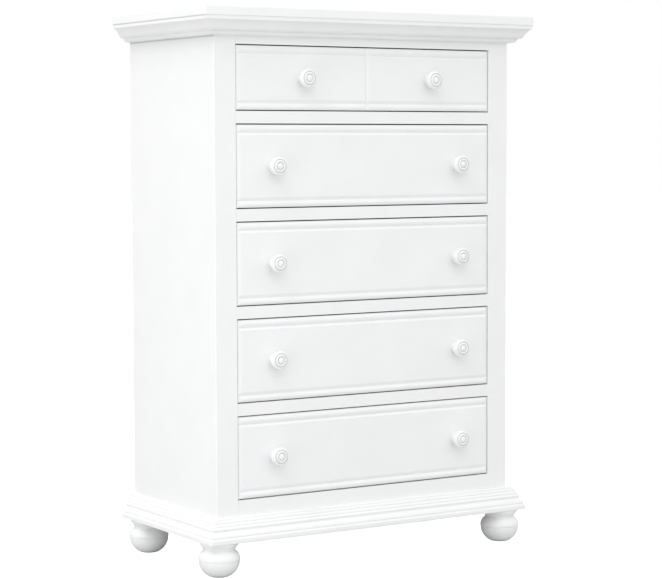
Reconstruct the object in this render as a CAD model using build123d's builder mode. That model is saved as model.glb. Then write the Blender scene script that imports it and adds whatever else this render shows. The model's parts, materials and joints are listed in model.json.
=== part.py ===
from build123d import *

import os

# Tall chest of five drawers: painted case, crown and base mouldings, bun feet, turned knobs.
#
# Millimetres. +Z is up, the front faces -Y, +X is to the right seen from the front.
# The origin is on the floor under the middle of the top board.

# ---- Driving dimensions -------------------------------------------------------------------

# Heights above the floor
overall_height = 1370.0
foot_height = 84.0
base_board_thickness = 16.0
base_moulding_height = 43.5
top_board_thickness = 26.5
bottom_rail_top = 181.0

# Case
case_width = 867.0
case_depth = 437.0
side_thickness = 18.0
frame_thickness = 23.0
frame_edge_radius = 1.0
frame_joint_chamfer = 0.9
case_corner_radius = 2.0
back_thickness = 5.0
back_rebate_width = 9.0

# Top board and base board
top_overhang = 49.0
top_back_overhang = 3.0
base_overhang = 37.5
board_corner_radius = 3.5
board_top_radius = 7.0
top_board_bottom_radius = 2.0
base_board_bottom_radius = 2.0

# Drawer openings: drawer 1 is the top one
drawer_count = 5
opening_width = 748.0
top_opening_height = 159.3
lower_opening_height = 204.9
rail_height = 30.0
tenon_length = 20.0
tenon_thickness = 8.0
tenon_shoulder = 5.0

# Drawers
drawer_gap = 2.8
drawer_side_gap = 2.0
drawer_length = 410.0
front_thickness = 21.0
box_thickness = 12.0
side_lift = 0.5
side_top_drop = 8.0
back_top_drop = 6.0
back_inset = 6.0
panel_thickness = 6.0
panel_height = 10.0
housing_depth = 5.0
groove_clearance = 0.1
tail_pitch = 39.0
tail_slope = 1.0 / 7.0
tail_share = 0.6

# Raised edge of a drawer front
top_bead_width = 18.9
bottom_bead_width = 15.8
bead_depth = 3.0
top_ramp_width = 5.6
bottom_ramp_width = 8.0
ramp_sagitta = 0.25
end_ease_width = 12.5
middle_ease_width = 7.5
ease_depth = 2.7

# Knobs
knob_spacing_top = 373.0
knob_spacing_lower = 542.0
knob_radius = 22.7
screw_radius = 2.1
screw_head_radius = 4.6
screw_head_height = 2.4
screw_rim_height = 0.6
screw_grip = 12.0

# Runners
runner_thickness = 18.0
runner_inner_reach = 14.0
guide_height = 30.0
runner_back_gap = 6.0
stop_height = 20.0
stop_clearance = 0.5

# Feet
foot_inset = 12.0
back_foot_inset = 56.0
foot_radius = 50.5
foot_bolt_radius = 3.5
foot_bolt_reach = 30.0
foot_bolt_rise = 13.0

# ---- Derived places -----------------------------------------------------------------------

total_depth = top_overhang + case_depth + top_back_overhang
case_front = top_overhang - total_depth / 2
case_back = case_front + case_depth
case_half = case_width / 2
panel_inner = case_half - side_thickness
opening_half = opening_width / 2
base_top = foot_height + base_board_thickness
case_top = overall_height - top_board_thickness
frame_back = case_front + frame_thickness
frame_middle = case_front + frame_thickness / 2

front_half = opening_half - drawer_side_gap
front_back = case_front + front_thickness
box_inner = front_half - box_thickness
box_end = case_front + drawer_length
tail_end = front_back - box_thickness


def opening_bottom(number):
    """Height of the lower edge of a drawer opening."""
    return bottom_rail_top + (drawer_count - number) * (lower_opening_height + rail_height)


def opening_height(number):
    return top_opening_height if number == 1 else lower_opening_height


def knob_half_spacing(number):
    return (knob_spacing_top if number == 1 else knob_spacing_lower) / 2


def crowned_radius(reach, rise):
    """Radius of an arc that leaves a flat surface smoothly and drops by rise over reach."""
    return (reach**2 + rise**2) / (2 * rise)


def save(piece, node):
    """Label a finished piece and write it to its own file."""
    piece.part.label = node
    export_step(piece.part, f"parts/{node}.step")


def add_block(low, high, mode=Mode.ADD):
    """A box between two corners, made in the part that is being built."""
    with BuildSketch(Plane.XY.offset(low[2]), mode=Mode.PRIVATE) as footprint:
        with Locations(((low[0] + high[0]) / 2, (low[1] + high[1]) / 2)):
            Rectangle(high[0] - low[0], high[1] - low[1])
    extrude(footprint.sketch, amount=high[2] - low[2], mode=mode)


# ---- Top board and base board -------------------------------------------------------------


def edged_board(bottom, thickness, front_and_side, back, bottom_radius):
    """A flat board with rounded corners, a round top edge and an eased lower edge."""
    half = case_half + front_and_side
    front = case_front - front_and_side
    with BuildPart() as board:
        add_block((-half, front, bottom), (half, case_back + back, bottom + thickness))
        fillet(board.edges().filter_by(Axis.Z), board_corner_radius)
        fillet(board.faces().sort_by(Axis.Z)[-1].edges(), board_top_radius)
        fillet(board.faces().sort_by(Axis.Z)[0].edges(), bottom_radius)
    return board


def make_top_board():
    overhangs = (top_overhang, top_back_overhang)
    board = edged_board(case_top, top_board_thickness, *overhangs, top_board_bottom_radius)
    save(board, "top_board")


def foot_centres():
    """Plan positions of the four feet with the names of their corners."""
    across = case_half - foot_inset
    front = case_front + foot_inset
    back = case_back - back_foot_inset
    return {
        "front_left": (-across, front),
        "front_right": (across, front),
        "back_left": (-across, back),
        "back_right": (across, back),
    }


def drill_foot_bolts(bottom, height, only=None):
    """Holes for the foot bolts, cut upwards from a height in the part that is being built."""
    centres = [centre for corner, centre in foot_centres().items() if only in (None, corner)]
    with BuildSketch(Plane.XY.offset(bottom), mode=Mode.PRIVATE) as holes:
        with Locations(*centres):
            Circle(foot_bolt_radius)
    extrude(holes.sketch, amount=height, mode=Mode.SUBTRACT)


def make_base_board():
    board = edged_board(foot_height, base_board_thickness, base_overhang, 0, base_board_bottom_radius)
    with board:
        drill_foot_bolts(foot_height, base_board_thickness)
    save(board, "base_board")


# ---- Side panels, back and face frame -----------------------------------------------------


def make_side_panels():
    with BuildPart() as panel:
        add_block((panel_inner, frame_back, base_top), (case_half, case_back, case_top))
        add_block(
            (panel_inner, case_back - back_thickness, base_top),
            (panel_inner + back_rebate_width, case_back, case_top),
            mode=Mode.SUBTRACT,
        )
        outer_edges = panel.faces().sort_by(Axis.X)[-1].edges().filter_by(Axis.Z)
        chamfer(outer_edges.sort_by(Axis.Y)[:1], frame_joint_chamfer)
        drill_foot_bolts(base_top, foot_bolt_rise, only="back_right")
    save(panel, "side_panel_right")

    with BuildPart() as left_panel:
        mirror(panel.part, about=Plane.YZ)
    save(left_panel, "side_panel_left")


def make_back_panel():
    half = panel_inner + back_rebate_width
    with BuildPart() as back_panel:
        add_block((-half, case_back - back_thickness, base_top), (half, case_back, case_top))
    save(back_panel, "back_panel")


def rail_spans():
    """Name, lower edge and upper edge of every rail of the face frame."""
    spans = [("bottom_rail", base_top, bottom_rail_top)]
    for number in range(1, drawer_count):
        top = opening_bottom(number)
        spans.append((f"rail_{number}", top - rail_height, top))
    spans.append(("top_rail", opening_bottom(1) + opening_height(1), case_top))
    return spans


def tenon_corners(low, high, half):
    """Corners of the strip that forms both tenons of a rail."""
    return (
        (-half, frame_middle - tenon_thickness / 2, low + tenon_shoulder),
        (half, frame_middle + tenon_thickness / 2, high - tenon_shoulder),
    )


def make_rails():
    tenon_half = opening_half + tenon_length
    for name, low, high in rail_spans():
        with BuildPart() as rail:
            add_block((-opening_half, case_front, low), (opening_half, frame_back, high))
            front_edges = rail.faces().sort_by(Axis.Y)[0].edges().filter_by(Axis.X)
            open_edges = front_edges.sort_by(Axis.Z)
            if name == "bottom_rail":
                open_edges = open_edges[-1:]
            if name == "top_rail":
                open_edges = open_edges[:1]
            fillet(open_edges, frame_edge_radius)
            add_block(*tenon_corners(low, high, tenon_half))
        save(rail, name)


def make_stiles():
    with BuildPart() as stile:
        add_block((opening_half, case_front, base_top), (case_half, frame_back, case_top))
        front_edges = stile.faces().sort_by(Axis.Y)[0].edges().filter_by(Axis.Z).sort_by(Axis.X)
        fillet(front_edges[:1], frame_edge_radius)
        fillet(front_edges[-1:], case_corner_radius)
        outer_edges = stile.faces().sort_by(Axis.X)[-1].edges().filter_by(Axis.Z)
        chamfer(outer_edges.sort_by(Axis.Y)[-1:], frame_joint_chamfer)
        for _, low, high in rail_spans():
            add_block(*tenon_corners(low, high, opening_half + tenon_length), mode=Mode.SUBTRACT)
        drill_foot_bolts(base_top, foot_bolt_rise, only="front_right")
    save(stile, "stile_right")

    with BuildPart() as left_stile:
        mirror(stile.part, about=Plane.YZ)
    save(left_stile, "stile_left")


# ---- Crown and base mouldings -------------------------------------------------------------


def crown_outline():
    """Section of the crown: x is out from the case, y is height above the floor."""
    top = case_top
    fillet_bottom = (46.8, top - 8.6)
    cove_top = (44.2, top - 9.3)
    cove_bottom = (31.2, top - 27.0)
    swell_bottom = (20.0, top - 34.0)
    ovolo_top = (18.9, top - 35.2)
    ovolo_bottom = (9.0, top - 43.2)
    quirk_out = 18.4
    case_foot = (0, top - 44.3)
    with BuildLine() as outline:
        Polyline((0, top), (fillet_bottom[0], top), fillet_bottom, cove_top)
        SagittaArc(cove_top, cove_bottom, -1.5)
        SagittaArc(cove_bottom, swell_bottom, 1.5)
        Polyline(swell_bottom, (quirk_out, swell_bottom[1]), (quirk_out, ovolo_top[1]), ovolo_top)
        SagittaArc(ovolo_top, ovolo_bottom, 2.3)
        Polyline(ovolo_bottom, case_foot, (0, top))
    return outline.edges()


def base_outline():
    """Section of the base moulding: x is out from the case, y is height above the floor."""
    bottom = base_top
    ovolo_bottom = (33.7, bottom + 0.9)
    ovolo_top = (28.2, bottom + 10.4)
    cove_top = (24.6, bottom + 17.7)
    bead_start = (26.5, bottom + 18.0)
    bead_step = (-4.9, 7.3)
    bead_rise = 6.4
    bead_run = -4.2
    quirk_depth = 1.3
    shoulder = (8.6, bottom + base_moulding_height)
    with BuildLine() as outline:
        Polyline((0, bottom), (ovolo_bottom[0], bottom), ovolo_bottom)
        SagittaArc(ovolo_bottom, ovolo_top, -1.3)
        SagittaArc(ovolo_top, cove_top, 1.1)
        Line(cove_top, bead_start)
        foot = bead_start
        for _ in range(3):
            head = (foot[0] + bead_run, foot[1] + bead_rise)
            next_foot = (foot[0] + bead_step[0], foot[1] + bead_step[1])
            quirk_out = head[0] - quirk_depth
            SagittaArc(foot, head, -1.1)
            Polyline(head, (quirk_out, head[1]), (quirk_out, next_foot[1]), next_foot)
            foot = next_foot
        SagittaArc(foot, shoulder, -0.6)
        Polyline(shoulder, (0, shoulder[1]), (0, bottom))
    return outline.edges()


left_mitre = Plane(origin=(-case_half, case_front, 0), z_dir=(1, -1, 0))
right_mitre = Plane(origin=(case_half, case_front, 0), z_dir=(-1, -1, 0))


def make_moulding(name, section):
    """Three mitred lengths of one moulding, round the front and both sides of the case."""
    longest = case_half + top_overhang
    with BuildPart() as front_piece:
        with BuildSketch(Plane(origin=(0, case_front, 0), x_dir=(0, -1, 0), z_dir=(-1, 0, 0))):
            make_face(section)
        extrude(amount=longest, both=True)
        split(bisect_by=left_mitre, keep=Keep.TOP)
        split(bisect_by=right_mitre, keep=Keep.TOP)
    save(front_piece, f"{name}_front")

    with BuildPart() as left_piece:
        with BuildSketch(Plane(origin=(-case_half, case_back, 0), x_dir=(-1, 0, 0), z_dir=(0, 1, 0))):
            make_face(section)
        extrude(amount=-(case_depth + top_overhang))
        split(bisect_by=left_mitre, keep=Keep.BOTTOM)
    save(left_piece, f"{name}_left")

    with BuildPart() as right_piece:
        mirror(left_piece.part, about=Plane.YZ)
    save(right_piece, f"{name}_right")


# ---- Feet ---------------------------------------------------------------------------------


def foot_outline():
    """Half section of a turned bun foot: x is radius, y is height above the floor."""
    floor_pad = (20.0, 0.0)
    scribe_height = 40.7
    scribe_depth = 1.0
    scribe_half = 0.9
    lower_edge = (foot_radius - 0.6, scribe_height - scribe_half)
    upper_edge = (foot_radius - 0.1, scribe_height + scribe_half)
    neck = (37.2, 64.4)
    collar = (46.5, 77.5)
    with BuildLine() as outline:
        Polyline(collar, (collar[0], foot_height), (0, foot_height), (0, 0), floor_pad)
        SagittaArc(floor_pad, lower_edge, -8.3)
        Polyline(lower_edge, (foot_radius - scribe_depth - 0.6, scribe_height), upper_edge)
        SagittaArc(upper_edge, neck, -4.2)
        SagittaArc(neck, collar, 1.2)
    return outline.edges()


def make_feet():
    for corner, centre in foot_centres().items():
        with BuildPart() as foot:
            with BuildSketch(Plane.XZ.offset(-centre[1]).shift_origin((centre[0], centre[1], 0))):
                make_face(foot_outline())
            revolve(axis=Axis((centre[0], centre[1], 0), (0, 0, 1)))
            drill_foot_bolts(foot_height - foot_bolt_reach, foot_bolt_reach, only=corner)
        save(foot, f"foot_{corner}")


def make_foot_bolts():
    bottom = foot_height - foot_bolt_reach
    length = foot_bolt_reach + base_board_thickness + foot_bolt_rise
    with BuildPart() as bolts:
        with BuildSketch(Plane.XY.offset(bottom)):
            with Locations(*foot_centres().values()):
                Circle(foot_bolt_radius)
        extrude(amount=length)
    save(bolts, "foot_bolts")


# ---- Runners ------------------------------------------------------------------------------


def runner_blocks():
    """Corners of the runner, guide strip and stop at each end of each drawer."""
    back = case_back - back_thickness - runner_back_gap
    inner = box_inner - runner_inner_reach
    blocks = []
    for number in range(1, drawer_count + 1):
        level = opening_bottom(number)
        for side in (-1, 1):
            reach = sorted((side * inner, side * panel_inner))
            guide = sorted((side * opening_half, side * panel_inner))
            stop = sorted((side * inner, side * opening_half))
            blocks += [
                ((reach[0], frame_back, level - runner_thickness), (reach[1], back, level)),
                ((guide[0], frame_back, level), (guide[1], back, level + guide_height)),
                ((stop[0], box_end + stop_clearance, level), (stop[1], back, level + stop_height)),
            ]
    return blocks


def make_runners():
    """Runners, guides and stops touch each other, so they are grouped rather than fused."""
    strips = []
    for low, high in runner_blocks():
        with BuildPart() as strip:
            add_block(low, high)
        strips.append(strip.part.solid())
    runners = Compound(label="drawer_runners", children=strips)
    export_step(runners, "parts/drawer_runners.step")


# ---- Drawers ------------------------------------------------------------------------------


def side_span(number):
    """Lower and upper edge of the sides of a drawer box."""
    low = opening_bottom(number) + side_lift
    high = opening_bottom(number) + opening_height(number) - drawer_gap - side_top_drop
    return low, high


def panel_level(number):
    """Height of the underside of a drawer's bottom panel."""
    return side_span(number)[0] + panel_height


def add_tails(number):
    """Add a drawer side's dovetails to the open sketch: x runs to the drawer's back, y is height."""
    low, high = side_span(number)
    count = round((high - low) / tail_pitch)
    pitch = (high - low) / count
    wide_half = tail_share * pitch / 2
    narrow_half = wide_half - box_thickness * tail_slope
    for index in range(count):
        middle = low + (index + 0.5) * pitch
        Polygon(
            (front_back, middle - narrow_half),
            (tail_end, middle - wide_half),
            (tail_end, middle + wide_half),
            (front_back, middle + narrow_half),
            align=None,
        )


def front_outline(height):
    """Section of a drawer front: x is out from the case, y is height above its lower edge."""
    valley = (-bead_depth, bottom_bead_width)
    field = (0, bottom_bead_width + bottom_ramp_width)
    top_valley = (-bead_depth, height - top_bead_width)
    top_field = (0, height - top_bead_width - top_ramp_width)
    with BuildLine() as outline:
        Polyline((-front_thickness, height), (-front_thickness, 0), (-bead_depth, 0))
        SagittaArc((-bead_depth, 0), valley, -bead_depth)
        SagittaArc(valley, field, ramp_sagitta)
        Line(field, top_field)
        SagittaArc(top_field, top_valley, ramp_sagitta)
        SagittaArc(top_valley, (-bead_depth, height), -bead_depth)
        Line((-bead_depth, height), (-front_thickness, height))
    return outline.edges()


def ease_outline(middle, inward, width):
    """Plan of what is taken off a front where its face rounds down at an end or at its middle."""
    inner = middle - inward * width
    with BuildLine() as outline:
        Polyline((inner, case_front), (middle, case_front), (middle, case_front + ease_depth))
        RadiusArc(
            (middle, case_front + ease_depth),
            (inner, case_front),
            inward * crowned_radius(width, ease_depth),
        )
    return outline.edges()


def make_front(number):
    low = opening_bottom(number) + drawer_gap
    height = opening_height(number) - 2 * drawer_gap
    knob_level = low + height / 2
    panel_low = panel_level(number)
    with BuildPart() as front:
        with BuildSketch(Plane(origin=(0, case_front, low), x_dir=(0, -1, 0), z_dir=(-1, 0, 0))):
            make_face(front_outline(height))
        extrude(amount=front_half, both=True)
        eases = [(front_half, 1, end_ease_width), (-front_half, -1, end_ease_width)]
        if number == 1:
            eases += [(0, 1, middle_ease_width), (0, -1, middle_ease_width)]
        for ease in eases:
            with BuildSketch(Plane.XY.offset(low)):
                make_face(ease_outline(*ease))
            extrude(amount=height, mode=Mode.SUBTRACT)
        for side in (-1, 1):
            with BuildSketch(Plane.YZ.offset(side * front_half)):
                add_tails(number)
            extrude(amount=-side * box_thickness, mode=Mode.SUBTRACT)
        add_block(
            (-box_inner, front_back - housing_depth, panel_low - groove_clearance),
            (box_inner, front_back, panel_low + panel_thickness + groove_clearance),
            mode=Mode.SUBTRACT,
        )
        with BuildSketch(Plane.XZ.offset(-front_back)):
            with Locations(*((side * knob_half_spacing(number), knob_level) for side in (-1, 1))):
                Circle(screw_radius)
        extrude(amount=front_thickness, mode=Mode.SUBTRACT)
    save(front, f"drawer_{number}_front")


def make_sides(number):
    low, high = side_span(number)
    panel_low = panel_level(number)
    panel_high = panel_low + panel_thickness
    housing = (box_end - back_inset - box_thickness, box_end - back_inset)
    with BuildPart() as side:
        with BuildSketch(Plane.YZ.offset(front_half)):
            with Locations(((front_back + box_end) / 2, (low + high) / 2)):
                Rectangle(box_end - front_back, high - low)
            add_tails(number)
        extrude(amount=-box_thickness)
        add_block(
            (box_inner, front_back - housing_depth, panel_low - groove_clearance),
            (box_inner + housing_depth, box_end, panel_high + groove_clearance),
            mode=Mode.SUBTRACT,
        )
        add_block(
            (box_inner, housing[0], panel_high),
            (box_inner + housing_depth, housing[1], high),
            mode=Mode.SUBTRACT,
        )
    save(side, f"drawer_{number}_side_right")

    with BuildPart() as left_side:
        mirror(side.part, about=Plane.YZ)
    save(left_side, f"drawer_{number}_side_left")


def make_back_and_bottom(number):
    high = side_span(number)[1]
    panel_low = panel_level(number)
    panel_high = panel_low + panel_thickness
    half = box_inner + housing_depth
    with BuildPart() as back:
        add_block(
            (-half, box_end - back_inset - box_thickness, panel_high),
            (half, box_end - back_inset, high - back_top_drop),
        )
    save(back, f"drawer_{number}_back")

    with BuildPart() as bottom:
        add_block(
            (-half, front_back - housing_depth, panel_low),
            (half, box_end - groove_clearance, panel_high),
        )
    save(bottom, f"drawer_{number}_bottom")


def knob_planes(number):
    """Planes whose y runs straight out of the drawer face, one for each knob."""
    level = opening_bottom(number) + opening_height(number) / 2
    across = knob_half_spacing(number)
    origins = [(side * across, case_front, level) for side in (-1, 1)]
    return [Plane(origin=origin, x_dir=(1, 0, 0), z_dir=(0, 0, -1)) for origin in origins]


def knob_outline():
    """Half section of a turned knob: x is radius, y is distance out from the drawer face."""
    foot = (13.5, 0.0)
    waist = (12.0, 3.5)
    widest = (knob_radius, 26.5)
    rim = (17.3, 33.4)
    rim_groove = (16.2, 31.9)
    ring_outer = (15.2, 33.5)
    ring_inner = (9.8, 34.4)
    dome_groove = (8.8, 32.9)
    dome_edge = (7.8, 34.5)
    dome_top = (0.0, 37.0)
    screw_depth = 13.0
    with BuildLine() as outline:
        Polyline((0, screw_depth), (screw_radius, screw_depth), (screw_radius, 0), foot, waist)
        SagittaArc(waist, widest, -2.6)
        SagittaArc(widest, rim, -2.2)
        Polyline(rim, rim_groove, ring_outer)
        SagittaArc(ring_outer, ring_inner, -1.2)
        Polyline(ring_inner, dome_groove, dome_edge)
        RadiusArc(dome_edge, dome_top, -crowned_radius(dome_edge[0], dome_top[1] - dome_edge[1]))
        Line(dome_top, (0, screw_depth))
    return outline.edges()


def make_knobs(number):
    with BuildPart() as knobs:
        for plane in knob_planes(number):
            with BuildSketch(plane):
                make_face(knob_outline())
            revolve(axis=Axis(plane.origin, plane.y_dir))
    save(knobs, f"drawer_{number}_knobs")


def screw_outline():
    """Half section of a knob screw: x is radius, y is distance out from the drawer face."""
    head_seat = -front_thickness
    rim = (screw_head_radius, head_seat - screw_rim_height)
    crest = (0, head_seat - screw_head_height)
    with BuildLine() as outline:
        Polyline((0, screw_grip), (screw_radius, screw_grip), (screw_radius, head_seat))
        Polyline((screw_radius, head_seat), (screw_head_radius, head_seat), rim)
        RadiusArc(rim, crest, crowned_radius(screw_head_radius, screw_head_height - screw_rim_height))
        Line(crest, (0, screw_grip))
    return outline.edges()


def make_knob_screws(number):
    with BuildPart() as screws:
        for plane in knob_planes(number):
            with BuildSketch(plane):
                make_face(screw_outline())
            revolve(axis=Axis(plane.origin, plane.y_dir))
    save(screws, f"drawer_{number}_knob_screws")


def make_drawer(number):
    make_front(number)
    make_sides(number)
    make_back_and_bottom(number)
    make_knobs(number)
    make_knob_screws(number)


os.makedirs("parts", exist_ok=True)
make_top_board()
make_base_board()
make_side_panels()
make_back_panel()
make_rails()
make_stiles()
make_moulding("crown", crown_outline())
make_moulding("base_moulding", base_outline())
make_feet()
make_foot_bolts()
make_runners()
for drawer_number in range(1, drawer_count + 1):
    make_drawer(drawer_number)
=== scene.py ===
"""Tall chest of five drawers: finishes, small fixings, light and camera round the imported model."""

import json
import math

import bpy
from mathutils import Matrix, Vector

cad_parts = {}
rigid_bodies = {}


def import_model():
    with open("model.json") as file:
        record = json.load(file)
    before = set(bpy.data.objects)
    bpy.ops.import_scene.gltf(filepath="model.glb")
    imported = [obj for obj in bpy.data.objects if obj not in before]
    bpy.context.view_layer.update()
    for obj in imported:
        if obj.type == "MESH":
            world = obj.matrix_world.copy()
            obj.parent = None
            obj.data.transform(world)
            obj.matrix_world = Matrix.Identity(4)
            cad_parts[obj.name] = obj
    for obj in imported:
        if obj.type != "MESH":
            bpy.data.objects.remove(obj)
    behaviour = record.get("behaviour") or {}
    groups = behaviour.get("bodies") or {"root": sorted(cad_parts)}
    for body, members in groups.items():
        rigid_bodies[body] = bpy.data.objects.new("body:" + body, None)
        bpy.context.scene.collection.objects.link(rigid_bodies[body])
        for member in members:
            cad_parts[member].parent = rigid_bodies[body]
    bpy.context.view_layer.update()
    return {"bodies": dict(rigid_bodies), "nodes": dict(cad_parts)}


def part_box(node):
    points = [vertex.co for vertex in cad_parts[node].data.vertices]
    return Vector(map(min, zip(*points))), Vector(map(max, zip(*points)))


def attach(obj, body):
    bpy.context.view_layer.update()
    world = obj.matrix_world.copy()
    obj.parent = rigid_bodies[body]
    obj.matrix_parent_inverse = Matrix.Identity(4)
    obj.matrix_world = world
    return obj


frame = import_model()
nodes = frame["nodes"]

MM = 0.001
BLACK = (0.0, 0.0, 0.0)
WHITE = (1.0, 1.0, 1.0)

case_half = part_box("side_panel_right")[1].x


# ---- Node helpers -------------------------------------------------------------------------

# Places of the colour sockets among the inputs and outputs of a mix node.
MIX_SHARE = 0
MIX_A = 6
MIX_B = 7
MIX_RESULT = 2


class Graph:
    """Builds one material's node tree."""

    def __init__(self, name):
        self.material = bpy.data.materials.new(name)
        self.material.use_nodes = True
        self.tree = self.material.node_tree
        self.shader = self.tree.nodes["Principled BSDF"]
        self.position = self.tree.nodes.new("ShaderNodeTexCoord").outputs["Object"]

    def node(self, kind, **inputs):
        made = self.tree.nodes.new(kind)
        for key, value in inputs.items():
            self.put(made.inputs[key], value)
        return made

    def put(self, socket, value):
        """Link a socket to another one, or set its value."""
        if isinstance(value, bpy.types.NodeSocket):
            self.tree.links.new(value, socket)
        else:
            socket.default_value = value

    def put_colour(self, socket, colour):
        """Link a socket to another one, or set its colour from red, green and blue."""
        self.put(socket, colour if isinstance(colour, bpy.types.NodeSocket) else (*colour, 1.0))

    def scaled(self, scale, offset):
        """The object's coordinates times a scale for each axis, moved by an offset."""
        mapping = self.node("ShaderNodeMapping", Vector=self.position)
        mapping.inputs["Scale"].default_value = scale
        mapping.inputs["Location"].default_value = offset
        return mapping.outputs["Vector"]

    def noise(self, scale, detail, roughness=0.5, offset=(0.0, 0.0, 0.0), distortion=0.0):
        """Noise whose grains per metre are given for each axis."""
        made = self.node("ShaderNodeTexNoise", Vector=self.scaled(scale, offset))
        made.inputs["Scale"].default_value = 1.0
        made.inputs["Detail"].default_value = detail
        made.inputs["Roughness"].default_value = roughness
        made.inputs["Distortion"].default_value = distortion
        return made.outputs["Fac"]

    def math(self, operation, a, b=0.0):
        made = self.tree.nodes.new("ShaderNodeMath")
        made.operation = operation
        self.put(made.inputs[0], a)
        self.put(made.inputs[1], b)
        return made.outputs[0]

    def weighted(self, *parts):
        """The sum of some values, each times its own weight."""
        total = None
        for value, weight in parts:
            part = self.math("MULTIPLY", value, weight)
            total = part if total is None else self.math("ADD", total, part)
        return total

    def spread(self, value, low, high, from_low=0.3, from_high=0.7):
        """Stretch a noise value over a new range."""
        made = self.node("ShaderNodeMapRange", Value=value)
        made.inputs["From Min"].default_value = from_low
        made.inputs["From Max"].default_value = from_high
        made.inputs["To Min"].default_value = low
        made.inputs["To Max"].default_value = high
        return made.outputs["Result"]

    def near(self, value, place, reach):
        """1 at a place and 0 past a reach on either side of it."""
        away = self.math("ABSOLUTE", self.math("SUBTRACT", value, place))
        return self.spread(away, 1.0, 0.0, from_low=0.0, from_high=reach)

    def ramp(self, value, first, last):
        """Go from one colour to another over a value from 0 to 1."""
        made = self.node("ShaderNodeValToRGB", Fac=value)
        for element, place, colour in zip(made.color_ramp.elements, (0.0, 1.0), (first, last)):
            element.position = place
            element.color = (*colour, 1.0)
        return made.outputs["Color"]

    def mix(self, share, a, b):
        """Colour a where the share is 0 and colour b where it is 1."""
        made = self.tree.nodes.new("ShaderNodeMix")
        made.data_type = "RGBA"
        self.put(made.inputs[MIX_SHARE], share)
        self.put_colour(made.inputs[MIX_A], a)
        self.put_colour(made.inputs[MIX_B], b)
        return made.outputs[MIX_RESULT]

    def shaded(self, colour, share, depth):
        """Darken a colour by a depth where a share is 1."""
        return self.mix(self.math("MULTIPLY", share, depth), colour, BLACK)

    def bump(self, height, distance, strength, normal=None):
        """Raise the surface by a height from 0 to 1 times a distance, over an earlier bump."""
        made = self.node("ShaderNodeBump", Height=height, Distance=distance, Strength=strength)
        if normal is not None:
            self.put(made.inputs["Normal"], normal)
        return made.outputs["Normal"]

    def finish(self, colour, roughness, normal):
        self.put(self.shader.inputs["Base Color"], colour)
        self.put(self.shader.inputs["Roughness"], roughness)
        self.put(self.shader.inputs["Normal"], normal)
        return self.material


def along(grain, fine, coarse):
    """Grains per metre on the three axes: coarse along the grain, fine across it."""
    return tuple(coarse if axis == grain else fine for axis in "XYZ")


def even(value):
    """The same value for all three axes, or for red, green and blue."""
    return (value, value, value)


# ---- Finishes -----------------------------------------------------------------------------

PAINT = (0.885, 0.888, 0.893)
PAINT_SHADE = (0.862, 0.864, 0.866)
PAINT_IOR = 1.5
LATHE_OUTWARD = 1500.0
LATHE_ALONG = 900.0
RING_COUNT = 62.0
PORE_SHADE = 0.55
BOARD_DULL = (0.735, 0.73, 0.71)
BOARD_PALE = (0.79, 0.785, 0.765)
ZINC_DULL = (0.52, 0.52, 0.54)
ZINC_PALE = (0.66, 0.66, 0.66)


def paint(name, grain, roughness=0.34, grain_depth=0.03 * MM, seed=0.0, joints=()):
    """White satin paint: sprayed surface, with the grain of the wood just showing through.

    Each shade or joint-line entry is an axis, a place on it, a reach and a depth: the paint is
    darker there by that depth, but only on the outside of the case's sides and past them. This
    darkening is painted shade under the crown and the top board, and a dark joint line between stile
    and side panel.
    """
    g = Graph(name)
    offset = (seed, seed * 1.7, seed * 0.6)
    fibres = g.noise(along(grain, 900.0, 14.0), detail=4.0, roughness=0.55, offset=offset)
    figure = g.noise(along(grain, 60.0, 2.2), detail=3.0, offset=offset, distortion=0.8)
    mottle = g.noise(even(9.0), detail=3.0, roughness=0.55, offset=offset)
    peel = g.noise(even(620.0), detail=1.5, offset=offset)
    wave = g.noise(even(34.0), detail=1.0, roughness=0.4, offset=offset)

    tone = g.weighted((fibres, 0.45), (mottle, 0.55))
    colour = g.mix(g.spread(tone, 0.0, 1.0, 0.38, 0.62), PAINT_SHADE, PAINT)
    if joints:
        split = g.node("ShaderNodeSeparateXYZ", Vector=g.position)
        sideways = g.math("ABSOLUTE", split.outputs["X"])
        outside = g.math("GREATER_THAN", sideways, case_half - 0.5 * MM)
    # Painted shade: the paint is darkened under the crown and the top board, and along the joint
    # line.
    for axis, place, reach, depth in joints:
        share = g.math("MULTIPLY", g.near(split.outputs[axis], place, reach), outside)
        colour = g.shaded(colour, share, depth)
    gloss = g.weighted((peel, 0.4), (mottle, 0.6))
    normal = g.bump(wave, distance=0.25 * MM, strength=0.3)
    normal = g.bump(figure, distance=1.5 * grain_depth, strength=0.5, normal=normal)
    normal = g.bump(fibres, distance=grain_depth, strength=0.6, normal=normal)
    normal = g.bump(peel, distance=0.022 * MM, strength=0.6, normal=normal)
    g.shader.inputs["IOR"].default_value = PAINT_IOR
    return g.finish(colour, g.spread(gloss, roughness - 0.05, roughness + 0.07), normal)


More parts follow.
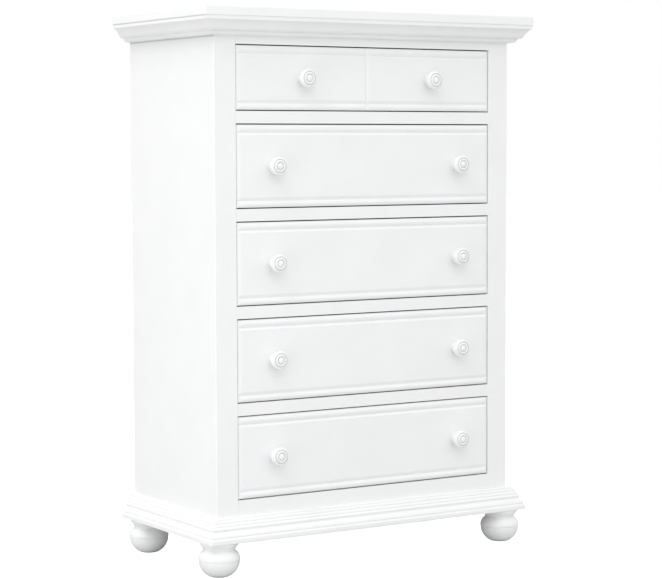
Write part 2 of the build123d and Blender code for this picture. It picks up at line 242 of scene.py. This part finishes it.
def turned_paint(name, centres, axis, roughness, groove_painted_shade=(), groove_shade_end=0.0):
    """Semi-gloss white paint on turned wood, with faint lathe rings round each centre.

    Each groove is a radius, a reach and a depth: painted shade darkens the paint in that groove,
    up to the end of the shaded face.
    """
    g = Graph(name)
    split = g.node("ShaderNodeSeparateXYZ", Vector=g.position)
    across = {"Y": ("X", "Z"), "Z": ("X", "Y")}[axis]
    nearest = None
    for centre in centres:
        steps = [g.math("SUBTRACT", split.outputs[a], centre["XYZ".index(a)]) for a in across]
        square = g.math("ADD", *[g.math("MULTIPLY", step, step) for step in steps])
        nearest = square if nearest is None else g.math("MINIMUM", nearest, square)
    radius = g.math("SQRT", nearest)
    lathe = g.math("SINE", g.weighted((radius, LATHE_OUTWARD), (split.outputs[axis], LATHE_ALONG)))
    mottle = g.noise(even(40.0), detail=3.0, roughness=0.55)
    peel = g.noise(even(700.0), detail=1.5)
    colour = g.mix(g.spread(mottle, 0.0, 1.0), PAINT_SHADE, PAINT)
    # Painted shade: the paint is darkened in the grooves of the knob's face.
    for groove, reach, depth in groove_painted_shade:
        on_face = g.math("LESS_THAN", split.outputs[axis], groove_shade_end)
        share = g.math("MULTIPLY", g.near(radius, groove, reach), on_face)
        colour = g.shaded(colour, share, depth)
    normal = g.bump(lathe, distance=0.006 * MM, strength=0.5)
    normal = g.bump(mottle, distance=0.12 * MM, strength=0.3, normal=normal)
    normal = g.bump(peel, distance=0.018 * MM, strength=0.6, normal=normal)
    return g.finish(colour, g.spread(peel, roughness - 0.04, roughness + 0.06), normal)


def wood(name, grain, pale, deep, roughness=0.42, seed=0.0, ring=11.0):
    """Planed hardwood: growth rings drawn out along the grain, pores and fine fibres."""
    g = Graph(name)
    offset = (seed, seed * 1.3, seed * 0.7)
    rings_at = along(grain, ring, 0.9)
    figure = g.noise(rings_at, detail=2.0, roughness=0.45, offset=offset, distortion=0.6)
    bands = g.math("SINE", g.math("MULTIPLY", figure, RING_COUNT))
    fibres = g.noise(along(grain, 1300.0, 22.0), detail=4.0, roughness=0.6, offset=offset)
    pores = g.noise(along(grain, 2100.0, 60.0), detail=2.0, offset=offset)
    mottle = g.noise(even(5.0), detail=2.0, offset=offset)

    tone = g.weighted((bands, 0.16), (fibres, 0.55), (mottle, 0.3))
    colour = g.ramp(g.spread(tone, 0.0, 1.0, 0.2, 0.65), deep, pale)
    dark = g.spread(pores, 0.0, 0.55, 0.62, 0.74)
    colour = g.mix(dark, colour, tuple(PORE_SHADE * part for part in deep))
    normal = g.bump(fibres, distance=0.05 * MM, strength=0.5)
    normal = g.bump(pores, distance=0.06 * MM, strength=0.4, normal=normal)
    return g.finish(colour, g.spread(fibres, roughness - 0.06, roughness + 0.1), normal)


def plywood(name, grain, pale, deep, seed):
    """Sanded plywood with a wide rotary-cut figure."""
    return wood(name, grain, pale, deep, roughness=0.5, seed=seed, ring=5.0)


def hardboard(name):
    """Thin hardboard: pressed fibres under a flat white coat."""
    g = Graph(name)
    fibres = g.noise(even(420.0), detail=5.0, roughness=0.65, distortion=1.2)
    clouds = g.noise(even(18.0), detail=3.0)
    tone = g.weighted((fibres, 0.75), (clouds, 0.25))
    colour = g.mix(g.spread(tone, 0.0, 1.0), BOARD_DULL, BOARD_PALE)
    normal = g.bump(fibres, distance=0.12 * MM, strength=0.6)
    return g.finish(colour, g.spread(tone, 0.62, 0.78), normal)


def zinc(name):
    """Zinc-plated steel with a faint turned grain."""
    g = Graph(name)
    grain = g.noise(along("Y", 2600.0, 300.0), detail=2.0)
    spangle = g.noise(even(260.0), detail=2.0)
    colour = g.mix(g.spread(spangle, 0.0, 1.0), ZINC_DULL, ZINC_PALE)
    normal = g.bump(grain, distance=0.01 * MM, strength=0.5)
    g.shader.inputs["Metallic"].default_value = 1.0
    return g.finish(colour, g.spread(grain, 0.24, 0.42), normal)


def wear(node, material):
    """Give a node one finish."""
    slots = nodes[node].data.materials
    slots.clear()
    slots.append(material)


# ---- The finish of each node --------------------------------------------------------------

CASE_BOARDS = ("top_board", "base_board", "top_rail", "rail_1", "rail_2", "rail_3", "rail_4",
               "bottom_rail")
CASE_UPRIGHTS = ("side_panel_left", "side_panel_right", "stile_left", "stile_right")
FEET = ("foot_front_left", "foot_front_right", "foot_back_left", "foot_back_right")
TRIM = {"roughness": 0.31, "grain_depth": 0.018 * MM}
RUNNER_PALE = (0.55, 0.38, 0.22)
RUNNER_DEEP = (0.40, 0.26, 0.14)
DRAWER_PALE = (0.70, 0.53, 0.335)
DRAWER_DEEP = (0.55, 0.385, 0.22)
PANEL_PALE = (0.67, 0.50, 0.315)
PANEL_DEEP = (0.56, 0.40, 0.24)
# Painted shade in the two ring grooves of a knob's face: radius, reach and depth of each.
KNOB_GROOVE_PAINTED_SHADE = ((16.2 * MM, 1.3 * MM, 0.3), (8.8 * MM, 1.2 * MM, 0.3))
KNOB_FACE_DEPTH = 7.0 * MM
FIRST_SEED = 11.0
SEED_STEP = 3.0

crown_low, crown_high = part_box("crown_left")
frame_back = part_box("side_panel_left")[0].y
# Painted shade on the case's outer sides: a dark band just under the crown and a faint wide band
# below it stand in for the crown's shadow; the third entry is a thin dark joint line where stile and
# side panel meet.
side_shade_and_joint_line = (
    ("Z", crown_low.z, 5.0 * MM, 0.42),
    ("Z", crown_low.z, 36.0 * MM, 0.06),
    ("Y", frame_back, 1.1 * MM, 0.12),
)
# Painted shade along the top of the side crowns, standing in for the shadow under the top board's
# edge where it meets the crown.
crown_top_painted_shade = (("Z", crown_high.z, 2.6 * MM, 0.42),)

case_x = paint("case_paint_across", "X", seed=1.0)
case_upright_paint_with_shade = paint("case_paint_upright_with_painted_shade", "Z", seed=3.0, joints=side_shade_and_joint_line)
trim_x = paint("trim_paint_across", "X", seed=4.0, **TRIM)
trim_y = paint("trim_paint_deep", "Y", seed=5.0, **TRIM)
crown_side_paint_with_shade = paint("crown_paint_deep_with_painted_shade", "Y", seed=5.0, joints=crown_top_painted_shade, **TRIM)
for node in CASE_BOARDS:
    wear(node, case_x)
for node in CASE_UPRIGHTS:
    wear(node, case_upright_paint_with_shade)
for moulding, side_paint in (("crown", crown_side_paint_with_shade), ("base_moulding", trim_y)):
    wear(f"{moulding}_front", trim_x)
    wear(f"{moulding}_left", side_paint)
    wear(f"{moulding}_right", side_paint)

foot_centres = [sum(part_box(foot), Vector()) / 2 for foot in FEET]
foot_paint = turned_paint("foot_paint", foot_centres, "Z", roughness=0.3)
for foot in FEET:
    wear(foot, foot_paint)

wear("back_panel", hardboard("back_board"))
runner_wood = wood("runner_wood", "Y", RUNNER_PALE, RUNNER_DEEP, roughness=0.5, seed=9.0)
wear("drawer_runners", runner_wood)
steel = zinc("steel")
wear("foot_bolts", steel)

drawers = [body for body in frame["bodies"] if body.startswith("drawer_")]
for index, drawer in enumerate(sorted(drawers)):
    seed = FIRST_SEED + SEED_STEP * index
    front_paint = paint(f"{drawer}_paint", "X", 0.33, 0.026 * MM, seed)
    wear(f"{drawer}_front", front_paint)
    side_wood = wood(f"{drawer}_side_wood", "Y", DRAWER_PALE, DRAWER_DEEP, seed=seed)
    for side in ("left", "right"):
        wear(f"{drawer}_side_{side}", side_wood)
    back_wood = wood(f"{drawer}_back_wood", "X", DRAWER_PALE, DRAWER_DEEP, seed=seed + 1.0)
    wear(f"{drawer}_back", back_wood)
    bottom_wood = plywood(f"{drawer}_bottom_wood", "X", PANEL_PALE, PANEL_DEEP, seed)
    wear(f"{drawer}_bottom", bottom_wood)
    low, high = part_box(f"{drawer}_knobs")
    knob_reach = (high.z - low.z) / 2
    middle_z = (low.z + high.z) / 2
    centres = [Vector((x, low.y, middle_z)) for x in (low.x + knob_reach, high.x - knob_reach)]
    knob_shade_end = low.y + KNOB_FACE_DEPTH
    # The knob paint carries painted shade in its grooves, on the front of the face only.
    knob_paint_with_groove_shade = turned_paint(f"{drawer}_knob_paint_with_groove_shade", centres, "Y", 0.24, KNOB_GROOVE_PAINTED_SHADE, knob_shade_end)
    wear(f"{drawer}_knobs", knob_paint_with_groove_shade)
    wear(f"{drawer}_knob_screws", steel)


# ---- Pins that hold the back panel ---------------------------------------------------------

PIN_COUNT = 12
PIN_EDGE = 4.5 * MM
PIN_END = 40.0 * MM
PIN_SIDES = 16
# Radius and height above the panel of each ring of a pin's head, then its crest's height, in mm.
PIN_SECTION = ((1.1, -0.4), (2.2, 0.0), (2.2, 0.25), (1.8, 0.55), (1.0, 0.74))
PIN_CREST = 0.8


def add_pin(vertices, faces, centre):
    """A flat round pin head, slightly domed, standing on the back of the panel."""
    first = len(vertices)
    for radius, out in PIN_SECTION:
        for step in range(PIN_SIDES):
            angle = math.tau * step / PIN_SIDES
            across = radius * MM * math.cos(angle)
            up = radius * MM * math.sin(angle)
            vertices.append((centre[0] + across, centre[1] + out * MM, centre[2] + up))
    for ring in range(len(PIN_SECTION) - 1):
        for step in range(PIN_SIDES):
            here = first + ring * PIN_SIDES + step
            beside = first + ring * PIN_SIDES + (step + 1) % PIN_SIDES
            faces.append((beside, here, here + PIN_SIDES, beside + PIN_SIDES))
    last = first + (len(PIN_SECTION) - 1) * PIN_SIDES
    vertices.append((centre[0], centre[1] + PIN_CREST * MM, centre[2]))
    crest = len(vertices) - 1
    for step in range(PIN_SIDES):
        faces.append((last + (step + 1) % PIN_SIDES, last + step, crest))
    faces.append(tuple(first + step for step in range(PIN_SIDES)))


pin_vertices = []
pin_faces = []
back_low, back_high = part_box("back_panel")
pin_span = back_high.z - back_low.z - 2 * PIN_END
for index in range(PIN_COUNT):
    height = back_low.z + PIN_END + pin_span * index / (PIN_COUNT - 1)
    for across in (back_low.x + PIN_EDGE, back_high.x - PIN_EDGE):
        add_pin(pin_vertices, pin_faces, (across, back_high.y, height))
pin_mesh = bpy.data.meshes.new("back_pins")
pin_mesh.from_pydata(pin_vertices, [], pin_faces)
pin_mesh.materials.append(steel)
back_pins = bpy.data.objects.new("back_pins", pin_mesh)
bpy.context.scene.collection.objects.link(back_pins)
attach(back_pins, "carcass")


# ---- Camera -------------------------------------------------------------------------------

CAMERA_PLACE = (-2.8352, -4.5254, 1.0376)
CAMERA_YAW = math.radians(32.211)
CAMERA_PITCH = math.radians(3.957)
CAMERA_ROLL = math.radians(-0.192)
CAMERA_LENS = 112.96
CAMERA_SENSOR = 36.0
CAMERA_CLIP_END = 100.0

forward = Vector((
    math.sin(CAMERA_YAW) * math.cos(CAMERA_PITCH),
    math.cos(CAMERA_YAW) * math.cos(CAMERA_PITCH),
    -math.sin(CAMERA_PITCH),
))
level = Vector((math.cos(CAMERA_YAW), -math.sin(CAMERA_YAW), 0.0))
upright = level.cross(forward)
camera_x = level * math.cos(CAMERA_ROLL) + upright * math.sin(CAMERA_ROLL)
camera_y = upright * math.cos(CAMERA_ROLL) - level * math.sin(CAMERA_ROLL)
turn = Matrix((camera_x, camera_y, -forward)).transposed().to_4x4()

camera_data = bpy.data.cameras.new("camera")
camera_data.sensor_width = CAMERA_SENSOR
camera_data.lens = CAMERA_LENS
camera_data.clip_end = CAMERA_CLIP_END
camera = bpy.data.objects.new("camera", camera_data)
camera.matrix_world = Matrix.Translation(CAMERA_PLACE) @ turn
bpy.context.scene.collection.objects.link(camera)
bpy.context.scene.camera = camera


# ---- Light and floor ----------------------------------------------------------------------

CHEST_MIDDLE = (0.0, -0.2, 0.7)
LEFT_SIDE = (-0.45, -0.2, 1.2)
COOL = (0.97, 0.99, 1.0)
FLOOR_REACH = 30.0
FLOOR_ROUGHNESS = 0.9
FLOOR_SPECULAR = 0.1
FLOOR_GLOW = 0.85
FLOOR_DROP = 0.5 * MM

scene = bpy.context.scene
scene.view_settings.view_transform = "Standard"
scene.view_settings.look = "None"

world = bpy.data.worlds.new("studio")
world.use_nodes = True
background = world.node_tree.nodes["Background"]
background.inputs["Color"].default_value = (*WHITE, 1.0)
background.inputs["Strength"].default_value = 1.0
scene.world = world


def add_softbox(name, place, target, width, height, power, colour):
    """A soft rectangular light at a place, aimed at a target."""
    data = bpy.data.lights.new(name, "AREA")
    data.shape = "RECTANGLE"
    data.size = width
    data.size_y = height
    data.energy = power
    data.color = colour
    light = bpy.data.objects.new(name, data)
    light.location = place
    light.rotation_euler = (Vector(place) - Vector(target)).to_track_quat("Z", "Y").to_euler()
    light.visible_camera = False
    scene.collection.objects.link(light)


add_softbox("key", (-2.27, -5.06, 5.2), CHEST_MIDDLE,
            width=4.2, height=4.2, power=58.0, colour=COOL)
add_softbox("fill", (-1.04, -6.08, 1.33), CHEST_MIDDLE,
            width=3.0, height=2.0, power=7.0, colour=COOL)
add_softbox("side_light", (-3.05, -1.02, 5.2), CHEST_MIDDLE,
            width=2.6, height=2.6, power=54.0, colour=WHITE)
add_softbox("side_reflector", (-1.7, -0.7, 0.03), LEFT_SIDE,
            width=1.6, height=2.4, power=12.5, colour=WHITE)


def make_floor_plane(name, height, pale, deep, seen):
    """A wide plane. One plane is what the camera sees and the other gives the bounced light."""
    mesh = bpy.data.meshes.new(name)
    corners = [(x * FLOOR_REACH, y * FLOOR_REACH, height)
               for x, y in ((-1, -1), (1, -1), (1, 1), (-1, 1))]
    mesh.from_pydata(corners, [], [(0, 1, 2, 3)])
    plane = bpy.data.objects.new(name, mesh)
    g = Graph(name)
    mottle = g.noise(even(3.0), detail=2.0)
    colour = g.mix(g.spread(mottle, 0.0, 1.0), even(deep), even(pale))
    normal = g.bump(mottle, distance=0.1 * MM, strength=0.1)
    mesh.materials.append(g.finish(colour, FLOOR_ROUGHNESS, normal))
    g.shader.inputs["Specular IOR Level"].default_value = FLOOR_SPECULAR
    g.shader.inputs["Emission Color"].default_value = (*WHITE, 1.0)
    g.shader.inputs["Emission Strength"].default_value = FLOOR_GLOW if seen else 0.0
    scene.collection.objects.link(plane)
    plane.visible_camera = seen
    plane.visible_diffuse = not seen
    plane.visible_glossy = not seen
    plane.visible_shadow = not seen


make_floor_plane("floor", 0.0, pale=0.95, deep=0.93, seen=True)
make_floor_plane("floor_bounce", -FLOOR_DROP, pale=0.61, deep=0.59, seen=False)
